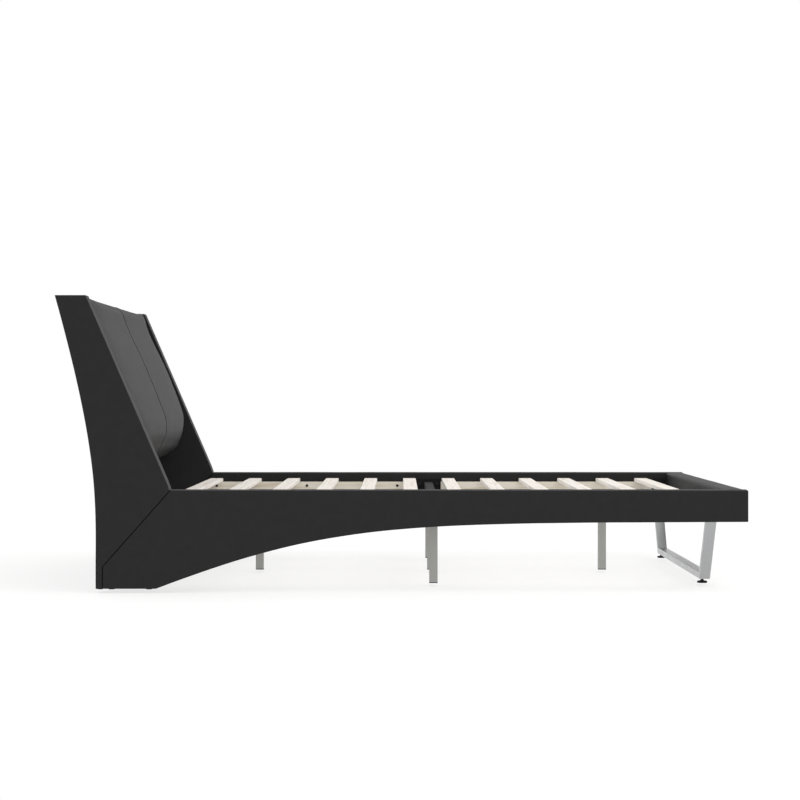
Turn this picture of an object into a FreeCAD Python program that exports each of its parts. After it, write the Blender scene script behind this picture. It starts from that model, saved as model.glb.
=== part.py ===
import FreeCAD, Part
import math
import os

V = FreeCAD.Vector

# overall size, mm
length = 2406.0
width = 1680.0
height = 1023.0
head_x = -length / 2
foot_x = length / 2

# upholstered panels: timber core inside a foam-backed leatherette cover
panel_thickness = 72.0
cover_thickness = 8.0
edge_radius = 7.0
curve_points = 15
inner_y = width / 2 - panel_thickness
glide_height = 4.0

# side rails and foot rail
rail_top = 345.0
rail_foot_bottom = 236.0
heel_front_x = -852.0
arch_control_a = (-302.0, 214.5)
arch_control_b = (-50.0, 230.9)
arch_end = (850.0, 234.5)
foot_rail_inner_x = 1129.0

# wings
wing_top_front_x = -1096.5
joint_top_x = -802.6
joint_low = (-1037.0, 80.0)
wing_back_x = -1061.0
wing_back_z = 60.0
wing_back_a = 240.0
wing_back_b = 560.0
wing_back_slope = 0.28

# headboard between the wings
headboard_clearance = 1.0
pad_back_top = (-1140.0, 1004.0)
pad_back_bottom = (-1036.0, 409.0)
board_thickness = 12.0
rib_thickness = 22.0
back_inset = 5.0
back_thickness = 3.0
seam_width = 3.0
seam_depth = 3.0
lower_board = (-1052.0, -1034.0, 40.0, 404.0)
lower_cover_thickness = 4.0
back_top_z = 1006.0
back_low_x = -1053.0
back_low_z = 30.0
rib_top_z = 1000.0
rib_low_x = -1075.0
rib_low_z = 415.0

# slats and their ledges
slat_count = 12
slat_first_x = -786.0
slat_pitch = 164.1
slat_width = 54.0
slat_thickness = 15.0
slat_length = 1526.0
slat_radius = 3.0
ledge_top = 308.0
ledge_height = 31.0
ledge_depth = 28.0
ledge_head_start = -826.0
ledge_head_end = 64.0
ledge_foot_start = 168.0
ledge_foot_end = 1064.0
screws_per_ledge = 3
ledge_screw_rows = ((-785.0, 384.0), (215.0, 349.5))
ledge_screw_z = 292.0
ledge_screw_radius = 2.5
ledge_screw_length = 55.0
ledge_screw_head = (5.5, 2.0)

# beams and support legs
beam_width = 34.0
beam_height = 60.0
beam_wall = 2.0
beam_radius = 2.0
cross_beam_x = 115.0
bracket_plate = 4.0
bracket_width = 100.0
bracket_top = 319.0
bracket_bolt_reach = 38.0
bracket_bolt_heights = (258.0, 300.0)
hanger_plate = 3.0
hanger_width = 70.0
hanger_top = 303.0
hanger_depth = 45.0
hanger_drop = 6.0
hanger_cheek_gap = 4.0
hanger_bolt_reach = 27.0
hanger_bolt_heights = (252.0, 292.0)
leg_size = 30.0
leg_wall = 1.5
leg_radius = 2.0
leg_plate_length = 80.0
leg_plate_thickness = 3.0
leg_head_x = -549.5
leg_foot_x = 778.6
leg_side_y = 563.0
leg_bolt_reach = 28.0
cap_flange = 3.0
cap_plug = 15.0

# sled leg at the foot end
sled_x0 = 1070.0
sled_x1 = 1108.0
sled_thickness = 24.0
sled_wall = 1.5
sled_radius = 1.5
sled_bottom = 16.0
sled_foot_y = 588.0
sled_top_y = 742.0
mount_thickness = 4.0
mount_x0 = 1014.0
mount_x1 = 1122.0
mount_top = 281.0
mount_inner_y = 690.0
mount_bolt_margin = 16.0
mount_bolt_z = 254.0

# levelling feet
level_x = 1084.0
level_y = 560.0
pad_radius = 18.0
pad_height = 7.0
pad_edge_radius = 1.5
socket_floor = 3.0
stud_radius = 4.0
running_gap = 0.3
stud_top = 35.0
hex_across_flats = 13.0
hex_height = 4.0
nut_radius = 8.0
nut_height = 6.5

# corner brackets, joint plates and floor glides
corner_reach = 55.0
corner_plate = 3.0
corner_low = 284.0
corner_high = 322.0
corner_bolt_reaches = (20.0, 42.0)
joint_plate_thickness = 4.0
joint_plate_points = [(-990.0, 95.0), (-900.0, 95.0), (-900.0, 255.0), (-990.0, 255.0)]
joint_bolt_points = [(-925.0, 115.0), (-965.0, 115.0), (-965.0, 235.0), (-925.0, 235.0)]
glide_places = ((-1049.0, 9.0), (-1010.0, 11.0), (-880.0, 11.0))

# bolts: shank radius, shank length and head height
bolt_m8_long = (4.0, 50.0, 4.0)
bolt_m6_long = (3.0, 50.0, 3.0)
bolt_m6 = (3.0, 45.0, 3.0)
bolt_m6_short = (3.0, 16.0, 4.0)
bolt_m5 = (2.5, 21.0, 2.5)
bolt_head_ratio = 1.7

parts = {}


def keep(name, shape):
    parts[name] = shape.removeSplitter()


def block(x0, x1, y0, y1, z0, z1):
    return Part.makeBox(x1 - x0, y1 - y0, z1 - z0, V(x0, y0, z0))


def rod(x, y, z, radius, size, axis):
    return Part.makeCylinder(radius, size, V(x, y, z), axis)


def line(a, b):
    return Part.makeLine(V(a[0], 0, a[1]), V(b[0], 0, b[1]))


def bezier(points):
    curve = Part.BezierCurve()
    curve.setPoles([V(x, 0, z) for x, z in points])
    return curve.toShape()


def spline(points):
    curve = Part.BSplineCurve()
    curve.interpolate([V(x, 0, z) for x, z in points])
    return curve.toShape()


def slab(face, y0, y1):
    moved = face.Faces[0].copy()
    moved.translate(V(0, y0, 0))
    return moved.extrude(V(0, y1 - y0, 0))


def face_of(edges):
    return Part.Face(Part.Wire(Part.__sortEdges__(edges)))


def polygon_face(points):
    ring = [V(x, 0, z) for x, z in points]
    return Part.Face(Part.makePolygon(ring + [ring[0]]))


def inset(face, amount):
    # each curved side of the moved-in outline becomes one plain spline
    edges = []
    for edge in face.makeOffset2D(-amount, join=2).OuterWire.Edges:
        if edge.Curve.TypeId == "Part::GeomLine":
            edges.append(edge)
        else:
            curve = Part.BSplineCurve()
            curve.interpolate(edge.discretize(Number=curve_points))
            edges.append(curve.toShape())
    return face_of(edges)


def mirror_y(shape):
    return shape.mirror(V(0, 0, 0), V(0, 1, 0))


def group(shapes):
    return Part.makeCompound(shapes)


def rounded(solid, radius):
    return solid.makeFillet(radius, solid.Edges)


def rounded_along(solid, radius, axis):
    # only the edges that run parallel to the axis are rounded
    edges = []
    for edge in solid.Edges:
        run = edge.Vertexes[0].Point - edge.Vertexes[-1].Point
        if run.Length > 0 and abs(run.dot(axis)) > 0.999 * run.Length:
            edges.append(edge)
    return solid.makeFillet(radius, edges)


along_x = V(1, 0, 0)
along_y = V(0, 1, 0)
along_z = V(0, 0, 1)


# outlines in the XZ plane
wing_back = [
    (wing_back_x, wing_back_z),
    (wing_back_x, wing_back_z + wing_back_a),
    (head_x + wing_back_slope * wing_back_b, height - wing_back_b),
    (head_x, height),
]
wing_face = face_of([
    line((head_x, height), (wing_top_front_x, height)),
    line((wing_top_front_x, height), (joint_top_x, rail_top)),
    line((joint_top_x, rail_top), joint_low),
    line(joint_low, (joint_low[0], glide_height)),
    line((joint_low[0], glide_height), (wing_back_x, glide_height)),
    line((wing_back_x, glide_height), (wing_back_x, wing_back_z)),
    bezier(wing_back),
])

arch_start = (heel_front_x, glide_height)
rail_face = face_of([
    line((joint_top_x, rail_top), (foot_x, rail_top)),
    line((foot_x, rail_top), (foot_x, rail_foot_bottom)),
    line((foot_x, rail_foot_bottom), arch_end),
    bezier([arch_end, arch_control_b, arch_control_a, arch_start]),
    line(arch_start, (joint_low[0], glide_height)),
    line((joint_low[0], glide_height), joint_low),
    line(joint_low, (joint_top_x, rail_top)),
])


def panel_pair(face, y0, y1):
    outside = rounded(slab(face, y0, y1), edge_radius)
    core_face = inset(face, cover_thickness)
    core = slab(core_face, y0 + cover_thickness, y1 - cover_thickness)
    return core, outside.cut(core)


# holes for the hardware are cut from every layer it passes through
def drilled(shape, tools):
    near = [tool for tool in tools if tool.BoundBox.intersect(shape.BoundBox)]
    return shape.cut(near) if near else shape


# slats
for index in range(slat_count):
    x = slat_first_x + index * slat_pitch
    slat = block(
        x - slat_width / 2,
        x + slat_width / 2,
        -slat_length / 2,
        slat_length / 2,
        ledge_top,
        ledge_top + slat_thickness,
    )
    keep(f"slat_{index + 1:02d}", rounded_along(slat, slat_radius, along_y))

# slat ledges with their screws, the left side first and then its mirror image
ledge_bottom = ledge_top - ledge_height
ledge_face_y = inner_y - ledge_depth
screws = []


def screw(x, z):
    head_radius, head_height = ledge_screw_head
    shank = rod(x, ledge_face_y, z, ledge_screw_radius, ledge_screw_length, along_y)
    head = rod(x, ledge_face_y - head_height, z, head_radius, head_height, along_y)
    return head.fuse(shank).removeSplitter()


ledge_head = block(
    ledge_head_start,
    ledge_head_end,
    ledge_face_y,
    inner_y,
    ledge_bottom,
    ledge_top,
)
ledge_foot = block(
    ledge_foot_start,
    ledge_foot_end,
    ledge_face_y,
    inner_y,
    ledge_bottom,
    ledge_top,
)
for start, pitch in ledge_screw_rows:
    for index in range(screws_per_ledge):
        screws.append(screw(start + index * pitch, ledge_screw_z))
screws = screws + [mirror_y(item) for item in screws]
notch = block(mount_x0, mount_x1, inner_y - mount_thickness, inner_y, 0, mount_top)
ledge_foot = ledge_foot.cut(notch)
for name, ledge in (("head", ledge_head), ("foot", ledge_foot)):
    keep(f"ledge_left_{name}", drilled(ledge, screws))
    keep(f"ledge_right_{name}", drilled(mirror_y(ledge), screws))
keep("ledge_screws", group(screws))

# cross beam and its two brackets, black steel
beam_bottom = ledge_top - beam_height
half_beam = beam_width / 2


def tube_along_x(x0, x1):
    outside = block(x0, x1, -half_beam, half_beam, beam_bottom, ledge_top)
    outside = rounded_along(outside, beam_radius, along_x)
    hollow = block(
        x0 - 1,
        x1 + 1,
        -half_beam + beam_wall,
        half_beam - beam_wall,
        beam_bottom + beam_wall,
        ledge_top - beam_wall,
    )
    return outside.cut(hollow)


def hanger(plate_width, plate_top, thickness):
    # a seat for a beam that runs away along +X from a plate on the plane X = 0
    inside = half_beam
    outside = half_beam + thickness
    low = beam_bottom - thickness
    cheek_top = ledge_top - hanger_cheek_gap
    half_plate = plate_width / 2
    plate = block(0, thickness, -half_plate, half_plate, low - hanger_drop, plate_top)
    seat = block(0, hanger_depth, -outside, outside, low, beam_bottom)
    one = block(0, hanger_depth, inside, outside, low, cheek_top)
    other = block(0, hanger_depth, -outside, -inside, low, cheek_top)
    return plate.fuse([seat, one, other]).removeSplitter()


def turned(shape, angle, x, y):
    copy = shape.copy()
    copy.rotate(V(0, 0, 0), along_z, angle)
    copy.translate(V(x, y, 0))
    return copy


def bolt_into(x, y, z, direction, size):
    # head on the near side of the point, shank going on along the direction
    radius, shank_length, head_height = size
    back = V(x, y, z) - direction * head_height
    head = Part.makeCylinder(radius * bolt_head_ratio, head_height, back, direction)
    shank = Part.makeCylinder(radius, shank_length, V(x, y, z), direction)
    return head.fuse(shank).removeSplitter()


bracket_bolts = []
cross_start = inner_y - bracket_plate
cross_beam = turned(tube_along_x(-cross_start, cross_start), 90, cross_beam_x, 0)
cross_bracket = hanger(bracket_width, bracket_top, bracket_plate)
bracket_left = turned(cross_bracket, -90, cross_beam_x, inner_y)
bracket_right = turned(cross_bracket, 90, cross_beam_x, -inner_y)
for x in (cross_beam_x - bracket_bolt_reach, cross_beam_x + bracket_bolt_reach):
    for z in bracket_bolt_heights:
        bracket_bolts.append(bolt_into(x, inner_y - bracket_plate, z, along_y, bolt_m6_long))
bracket_bolts = bracket_bolts + [mirror_y(item) for item in bracket_bolts]
keep("cross_beam", cross_beam)
keep(
    "cross_beam_brackets",
    group([drilled(bracket_left, bracket_bolts), drilled(bracket_right, bracket_bolts)]),
)

# centre beams, head to cross beam and cross beam to foot rail
lower_front_x = lower_board[1] + lower_cover_thickness
small_hanger = hanger(hanger_width, hanger_top, hanger_plate)
hanger_places = [
    (0, lower_front_x),
    (180, cross_beam_x - half_beam),
    (0, cross_beam_x + half_beam),
    (180, foot_rail_inner_x),
]
hangers = [turned(small_hanger, angle, x, 0) for angle, x in hanger_places]
hanger_bolts = []
for angle, x in (hanger_places[0], hanger_places[3]):
    side = 1 if angle == 0 else -1
    for y in (-hanger_bolt_reach, hanger_bolt_reach):
        for z in hanger_bolt_heights:
            point = x + side * hanger_plate
            hanger_bolts.append(bolt_into(point, y, z, along_x * -side, bolt_m5))
hangers = [drilled(item, hanger_bolts) for item in hangers]
centre_beam_head = tube_along_x(
    lower_front_x + hanger_plate,
    cross_beam_x - half_beam - hanger_plate,
)
centre_beam_foot = tube_along_x(
    cross_beam_x + half_beam + hanger_plate,
    foot_rail_inner_x - hanger_plate,
)

# support legs: square tube with a welded top plate and a plastic end cap
leg_top = beam_bottom
leg_half = leg_size / 2


def support_leg(x, y, plate_across):
    outside = block(
        x - leg_half,
        x + leg_half,
        y - leg_half,
        y + leg_half,
        cap_flange,
        leg_top - leg_plate_thickness,
    )
    outside = rounded_along(outside, leg_radius, along_z)
    hollow = block(
        x - leg_half + leg_wall,
        x + leg_half - leg_wall,
        y - leg_half + leg_wall,
        y + leg_half - leg_wall,
        cap_flange - 1,
        leg_top - leg_plate_thickness,
    )
    half_x = half_beam if plate_across else leg_plate_length / 2
    half_y = leg_plate_length / 2 if plate_across else half_beam
    plate = block(
        x - half_x,
        x + half_x,
        y - half_y,
        y + half_y,
        leg_top - leg_plate_thickness,
        leg_top,
    )
    return outside.cut(hollow).fuse(plate).removeSplitter()


def leg_cap(x, y):
    flange = block(x - leg_half, x + leg_half, y - leg_half, y + leg_half, 0, cap_flange)
    inside = leg_half - leg_wall
    plug_top = cap_flange + cap_plug
    plug = block(x - inside, x + inside, y - inside, y + inside, cap_flange, plug_top)
    return flange.fuse(plug).removeSplitter()


leg_places = {
    "head": (leg_head_x, 0.0, False),
    "centre": (cross_beam_x, 0.0, True),
    "foot": (leg_foot_x, 0.0, False),
    "left": (cross_beam_x, leg_side_y, True),
    "right": (cross_beam_x, -leg_side_y, True),
}
leg_bolts = []
caps = []
beams = {
    "centre_beam_head": centre_beam_head,
    "centre_beam_foot": centre_beam_foot,
    "cross_beam": cross_beam,
}
for x, y, plate_across in leg_places.values():
    for side in (-leg_bolt_reach, leg_bolt_reach):
        bolt_x = x if plate_across else x + side
        bolt_y = y + side if plate_across else y
        point_z = leg_top - leg_plate_thickness
        leg_bolts.append(bolt_into(bolt_x, bolt_y, point_z, along_z, bolt_m6_short))
    caps.append(leg_cap(x, y))
for name, (x, y, plate_across) in leg_places.items():
    keep(f"support_leg_{name}", drilled(support_leg(x, y, plate_across), leg_bolts))
for name, beam in beams.items():
    keep(name, drilled(beam, leg_bolts))
keep("leg_end_caps", group(caps))
keep("leg_bolts", group(leg_bolts))
keep("beam_hangers", group(hangers))

# sled leg: a trapezoid of rectangular tube, drawn in the YZ plane and extruded along X
sled_top = rail_foot_bottom - mount_thickness
lean = (sled_top_y - sled_foot_y) / (sled_top - sled_bottom)


def sled_outline(inside):
    # the tube's outer line moved in by the given distance
    low = sled_bottom + inside
    shift = inside * math.hypot(1.0, lean)
    foot_y = sled_foot_y + lean * inside - shift
    top_y = sled_top_y - shift
    return low, foot_y, top_y


def sled_ring(out, into, x0, x1, top):
    low, foot_y, top_y = sled_outline(out)
    low_in, foot_in, top_in = sled_outline(into)
    extra = lean * (top - sled_top)
    points = [
        (top_y + extra, top),
        (foot_y, low),
        (-foot_y, low),
        (-top_y - extra, top),
        (-top_in - extra, top),
        (-foot_in, low_in),
        (foot_in, low_in),
        (top_in + extra, top),
    ]
    ring = [V(x0, y, z) for y, z in points]
    face = Part.Face(Part.makePolygon(ring + [ring[0]]))
    return face.extrude(V(x1 - x0, 0, 0))


sled_solid = sled_ring(0.0, sled_thickness, sled_x0, sled_x1, sled_top)
side_edges = []
for edge in sled_solid.Edges:
    ends = [vertex.Point for vertex in edge.Vertexes]
    across = abs(ends[0].x - ends[-1].x) > 1
    at_mount = min(ends[0].z, ends[-1].z) > sled_top - 1
    if not across and not at_mount:
        side_edges.append(edge)
sled_solid = sled_solid.makeFillet(sled_radius, side_edges)
sled_hollow = sled_ring(
    sled_wall,
    sled_thickness - sled_wall,
    sled_x0 + sled_wall,
    sled_x1 - sled_wall,
    sled_top + sled_thickness,
)
sled = sled_solid.cut(sled_hollow)

# levelling feet: pad, stud with a hexagon, and a weld nut inside the tube
nuts = []
stud_low = socket_floor + running_gap
bore_radius = stud_radius + running_gap
hex_reach = hex_across_flats / 2 / math.cos(math.radians(30))
for name, y in (("left", level_y), ("right", -level_y)):
    pad = rod(level_x, y, 0, pad_radius, pad_height, along_z)
    pad = pad.makeFillet(pad_edge_radius, [edge for edge in pad.Edges if edge.Closed])
    socket = rod(level_x, y, socket_floor, bore_radius, pad_height, along_z)
    shaft = rod(level_x, y, stud_low, stud_radius, stud_top - stud_low, along_z)
    corners = []
    for step in range(7):
        angle = math.radians(60 * step)
        x = level_x + hex_reach * math.cos(angle)
        corners.append(V(x, y + hex_reach * math.sin(angle), pad_height + running_gap))
    collar = Part.Face(Part.makePolygon(corners)).extrude(along_z * hex_height)
    bore = rod(level_x, y, 0, bore_radius, stud_top, along_z)
    nut = rod(level_x, y, sled_bottom + sled_wall, nut_radius, nut_height, along_z)
    nuts.append(nut.cut(bore))
    sled = sled.cut(bore)
    keep(f"foot_pad_{name}", pad.cut(socket))
    keep(f"foot_stud_{name}", shaft.fuse(collar))
keep("foot_nuts", group(nuts))
keep("sled_leg_frame", sled)

# sled mounts: steel angles under and inside the side rails
mount_bolts = []
plate = block(mount_x0, mount_x1, mount_inner_y, inner_y, sled_top, rail_foot_bottom)
upright = block(
    mount_x0,
    mount_x1,
    inner_y - mount_thickness,
    inner_y,
    rail_foot_bottom,
    mount_top,
)
mount_left = plate.fuse(upright).removeSplitter()
mount_middle = (mount_x0 + mount_x1) / 2
for x in (mount_x0 + mount_bolt_margin, mount_middle, mount_x1 - mount_bolt_margin):
    start_y = inner_y - mount_thickness
    mount_bolts.append(bolt_into(x, start_y, mount_bolt_z, along_y, bolt_m8_long))
mount_bolts = mount_bolts + [mirror_y(item) for item in mount_bolts]
keep("sled_mount_left", drilled(mount_left, mount_bolts))
keep("sled_mount_right", drilled(mirror_y(mount_left), mount_bolts))

# corner brackets between the side rails and the foot rail
corner_bolts = []
side_wing = block(
    foot_rail_inner_x - corner_reach,
    foot_rail_inner_x,
    inner_y - corner_plate,
    inner_y,
    corner_low,
    corner_high,
)
foot_wing = block(
    foot_rail_inner_x - corner_plate,
    foot_rail_inner_x,
    inner_y - corner_reach,
    inner_y,
    corner_low,
    corner_high,
)
corner_left = side_wing.fuse(foot_wing).removeSplitter()
middle_z = (corner_low + corner_high) / 2
for reach in corner_bolt_reaches:
    x = foot_rail_inner_x - reach
    corner_bolts.append(bolt_into(x, inner_y - corner_plate, middle_z, along_y, bolt_m6))
    x = foot_rail_inner_x - corner_plate
    corner_bolts.append(bolt_into(x, inner_y - reach, middle_z, along_x, bolt_m6))
corner_bolts = corner_bolts + [mirror_y(item) for item in corner_bolts]
corners_pair = [drilled(item, corner_bolts) for item in (corner_left, mirror_y(corner_left))]
keep("corner_brackets", group(corners_pair))

# flat plates across the joints between the wings and the side rails
joint_bolts = []
joint_start = inner_y - joint_plate_thickness
joint_plate = slab(polygon_face(joint_plate_points), joint_start, inner_y)
for x, z in joint_bolt_points:
    joint_bolts.append(bolt_into(x, joint_start, z, along_y, bolt_m8_long))
joint_bolts = joint_bolts + [mirror_y(item) for item in joint_bolts]
plates = [drilled(item, joint_bolts) for item in (joint_plate, mirror_y(joint_plate))]
keep("wing_joint_plates", group(plates))

all_bolts = bracket_bolts + hanger_bolts + mount_bolts + corner_bolts + joint_bolts
keep("frame_bolts", group(all_bolts))

# upholstered wings, side rails and foot rail
hardware = all_bolts + screws
for side, flip in (("left", False), ("right", True)):
    for name, face in (("wing", wing_face), ("side_rail", rail_face)):
        core, cover = panel_pair(face, inner_y, inner_y + panel_thickness)
        if flip:
            core = mirror_y(core)
            cover = mirror_y(cover)
        keep(f"{name}_{side}_core", drilled(core, hardware))
        keep(f"{name}_{side}_cover", drilled(cover, hardware))

foot_outside = block(
    foot_rail_inner_x,
    foot_x,
    -inner_y,
    inner_y,
    rail_foot_bottom,
    rail_top,
)
foot_core = block(
    foot_rail_inner_x + cover_thickness,
    foot_x - cover_thickness,
    -inner_y + cover_thickness,
    inner_y - cover_thickness,
    rail_foot_bottom + cover_thickness,
    rail_top - cover_thickness,
)
foot_cover = rounded(foot_outside, edge_radius).cut(foot_core)
keep("foot_rail_core", drilled(foot_core, hardware))
keep("foot_rail_cover", drilled(foot_cover, hardware))

# floor glides under the heels of the wings and side rails
glides = []
glide_y = inner_y + panel_thickness / 2
for y in (glide_y, -glide_y):
    for x, radius in glide_places:
        glides.append(rod(x, y, 0, radius, glide_height, along_z))
keep("floor_glides", group(glides))

# headboard: ply board on ribs, curved back panel, padded cushion and a lower panel
cushion_y = inner_y - headboard_clearance
slope_x = pad_back_bottom[0] - pad_back_top[0]
slope_z = pad_back_bottom[1] - pad_back_top[1]
slope_length = math.hypot(slope_x, slope_z)
behind = V(slope_z / slope_length, 0, -slope_x / slope_length)


def behind_pad(point, distance):
    return (point[0] + behind.x * distance, point[1] + behind.z * distance)


board_face = polygon_face([
    pad_back_top,
    pad_back_bottom,
    behind_pad(pad_back_bottom, board_thickness),
    behind_pad(pad_back_top, board_thickness),
])
keep("headboard_board", slab(board_face, -inner_y, inner_y))

inner_face = inset(wing_face, back_inset)
shell_face = inner_face.cut(inset(wing_face, back_inset + back_thickness))
clear_of_head = head_x - panel_thickness
back_clip = polygon_face([
    (clear_of_head, back_top_z),
    behind_pad(pad_back_top, board_thickness),
    (back_low_x, pad_back_bottom[1]),
    (back_low_x, back_low_z),
    (clear_of_head, back_low_z),
])
back_strip = shell_face.common(back_clip)
keep("headboard_back", slab(back_strip, -inner_y, inner_y))

rib_room = inset(wing_face, back_inset + back_thickness)
rib_clip = polygon_face([
    (clear_of_head, rib_top_z),
    behind_pad(pad_back_top, board_thickness),
    behind_pad(pad_back_bottom, board_thickness),
    (rib_low_x, rib_low_z),
    (clear_of_head, rib_low_z),
])
rib_face = rib_room.common(rib_clip)
keep("headboard_rib_left", slab(rib_face, inner_y - rib_thickness, inner_y))
keep("headboard_rib_centre", slab(rib_face, -rib_thickness / 2, rib_thickness / 2))
keep("headboard_rib_right", slab(rib_face, -inner_y, -inner_y + rib_thickness))

board_x0, board_x1, board_z0, board_z1 = lower_board
lower = block(board_x0, board_x1, -inner_y, inner_y, board_z0, board_z1)
lower_cover = block(
    board_x1,
    board_x1 + lower_cover_thickness,
    -inner_y,
    inner_y,
    board_z0,
    board_z1,
)
keep("headboard_lower_board", drilled(lower, hardware))
keep("headboard_lower_cover", drilled(lower_cover, hardware))


def pad_face(depth):
    # the cushion's side view, its front and roll moved in by the given depth
    front = [
        (-1128.0, 1017.0 - depth),
        (-1108.0 - 0.5 * depth, 1018.5 - depth),
        (-1094.0 - depth, 1012.0 - 0.6 * depth),
        (-1086.0 - depth, 994.0 - 0.4 * depth),
        (-1022.0 - depth, 841.0 - 0.4 * depth),
        (-958.0 - depth, 690.0 - 0.4 * depth),
        (-940.0 - depth, 640.0 - 0.3 * depth),
        (-925.5 - depth, 585.0 - 0.1 * depth),
        (-920.0 - depth, 545.0),
        (-920.0 - depth, 505.0),
        (-922.0 - depth, 470.0 + 0.1 * depth),
        (-931.0 - 0.9 * depth, 446.0 + 0.4 * depth),
        (-952.0 - 0.6 * depth, 428.0 + 0.8 * depth),
        (-985.0 - 0.3 * depth, 416.0 + depth),
        (-1030.0, 407.5 + depth),
    ]
    edges = [
        line(pad_back_bottom, pad_back_top),
        line(pad_back_top, front[0]),
        spline(front),
        line(front[-1], pad_back_bottom),
    ]
    return face_of(edges)


half_seam = seam_width / 2
pad_left = slab(pad_face(0.0), half_seam, cushion_y)
pad_middle = slab(pad_face(seam_depth), -half_seam, half_seam)
pad_right = slab(pad_face(0.0), -cushion_y, -half_seam)
keep("headboard_pad", pad_left.fuse([pad_middle, pad_right]))

os.makedirs("parts", exist_ok=True)
for name, shape in parts.items():
    shape.exportStep(f"parts/{name}.step")
    box = shape.BoundBox
    print(
        f"{name:26s} solids {len(shape.Solids):3d} valid {shape.isValid()} "
        f"x {box.XMin:8.1f} {box.XMax:8.1f} y {box.YMin:7.1f} {box.YMax:7.1f} "
        f"z {box.ZMin:7.1f} {box.ZMax:7.1f}"
    )
print("nodes", len(parts))
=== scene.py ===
import bmesh
import bpy
import math
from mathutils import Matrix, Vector, noise


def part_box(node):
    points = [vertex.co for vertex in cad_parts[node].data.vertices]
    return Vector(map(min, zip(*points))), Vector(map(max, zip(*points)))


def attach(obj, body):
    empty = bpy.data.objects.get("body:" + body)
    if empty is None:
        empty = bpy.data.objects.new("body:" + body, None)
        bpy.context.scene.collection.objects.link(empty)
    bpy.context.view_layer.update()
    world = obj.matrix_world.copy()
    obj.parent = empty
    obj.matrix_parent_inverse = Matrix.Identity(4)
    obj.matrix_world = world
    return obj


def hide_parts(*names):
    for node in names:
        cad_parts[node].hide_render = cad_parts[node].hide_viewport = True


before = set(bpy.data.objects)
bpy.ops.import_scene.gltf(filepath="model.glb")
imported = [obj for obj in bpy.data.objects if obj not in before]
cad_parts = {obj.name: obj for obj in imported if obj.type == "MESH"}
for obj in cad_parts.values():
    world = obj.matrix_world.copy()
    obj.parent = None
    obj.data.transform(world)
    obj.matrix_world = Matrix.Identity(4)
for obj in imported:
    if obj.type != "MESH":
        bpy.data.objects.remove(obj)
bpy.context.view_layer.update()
body = "bed"


def say(text):
    print("stage:", text)


# ways of working that every piece uses

def startPiece(name):
    made = bpy.context.active_object
    made.name = name
    made.data.name = name
    return made


def clearSelection():
    if bpy.context.mode != "OBJECT":
        bpy.ops.object.mode_set(mode="OBJECT")
    bpy.ops.object.select_all(action="DESELECT")


def workOn(piece):
    clearSelection()
    piece.select_set(True)
    bpy.context.view_layer.objects.active = piece


def settle(piece):
    # place, turn and size go into the mesh
    workOn(piece)
    bpy.ops.object.transform_apply(location=True, rotation=True, scale=True)


def selectWhere(piece, test):
    # edit mode: select the points that pass the test on their place
    mesh = bmesh.from_edit_mesh(piece.data)
    for point in mesh.verts:
        point.select = bool(test(point.co))
    mesh.select_flush(True)
    mesh.select_flush(False)
    bmesh.update_edit_mesh(piece.data)


def applyModifiers(piece):
    workOn(piece)
    for modifier in list(piece.modifiers):
        bpy.ops.object.modifier_apply(modifier=modifier.name)


def smoothShade(piece, angle=40):
    workOn(piece)
    bpy.ops.object.shade_smooth_by_angle(angle=math.radians(angle))


def blendBetween(low, high, share):
    return low + (high - low) * share


def bezierAt(points, share):
    rest = 1 - share
    weights = (rest ** 3, 3 * rest ** 2 * share, 3 * rest * share ** 2, share ** 3)
    across = sum(w * p[0] for w, p in zip(weights, points))
    up = sum(w * p[1] for w, p in zip(weights, points))
    return across, up


def alongCurve(points, axis, value):
    # the other coordinate of a curve where one coordinate has the given value
    low, high = 0.0, 1.0
    rising = points[3][axis] > points[0][axis]
    for step in range(40):
        middle = (low + high) / 2
        if (bezierAt(points, middle)[axis] < value) == rising:
            low = middle
        else:
            high = middle
    return bezierAt(points, low)[1 - axis]


# materials

def linear(hexCode):
    parts = [int(hexCode[i:i + 2], 16) / 255 for i in (0, 2, 4)]
    out = [p / 12.92 if p <= 0.04045 else ((p + 0.055) / 1.055) ** 2.4 for p in parts]
    return (out[0], out[1], out[2], 1.0)


def addNode(tree, kind, settings=None, links=None):
    # settings go to properties or sockets, links are socket name -> (node, output name)
    node = tree.nodes.new(kind)
    for key, value in (settings or {}).items():
        if key in node.inputs:
            node.inputs[key].default_value = value
        else:
            setattr(node, key, value)
    for key, (source, output) in (links or {}).items():
        tree.links.new(source.outputs[output], node.inputs[key])
    return node


def newMaterial(name):
    made = bpy.data.materials.new(name)
    made.use_nodes = True
    made.node_tree.nodes.clear()
    return made, made.node_tree


def closeMaterial(tree, shader, output="BSDF"):
    addNode(tree, "ShaderNodeOutputMaterial", links={"Surface": (shader, output)})


def colourRamp(tree, source, output, stops):
    ramp = addNode(tree, "ShaderNodeValToRGB", links={"Fac": (source, output)})
    ramp.color_ramp.elements[0].position = stops[0][0]
    ramp.color_ramp.elements[0].color = stops[0][1]
    ramp.color_ramp.elements[1].position = stops[-1][0]
    ramp.color_ramp.elements[1].color = stops[-1][1]
    for place, colour in stops[1:-1]:
        ramp.color_ramp.elements.new(place).color = colour
    return ramp


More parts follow.
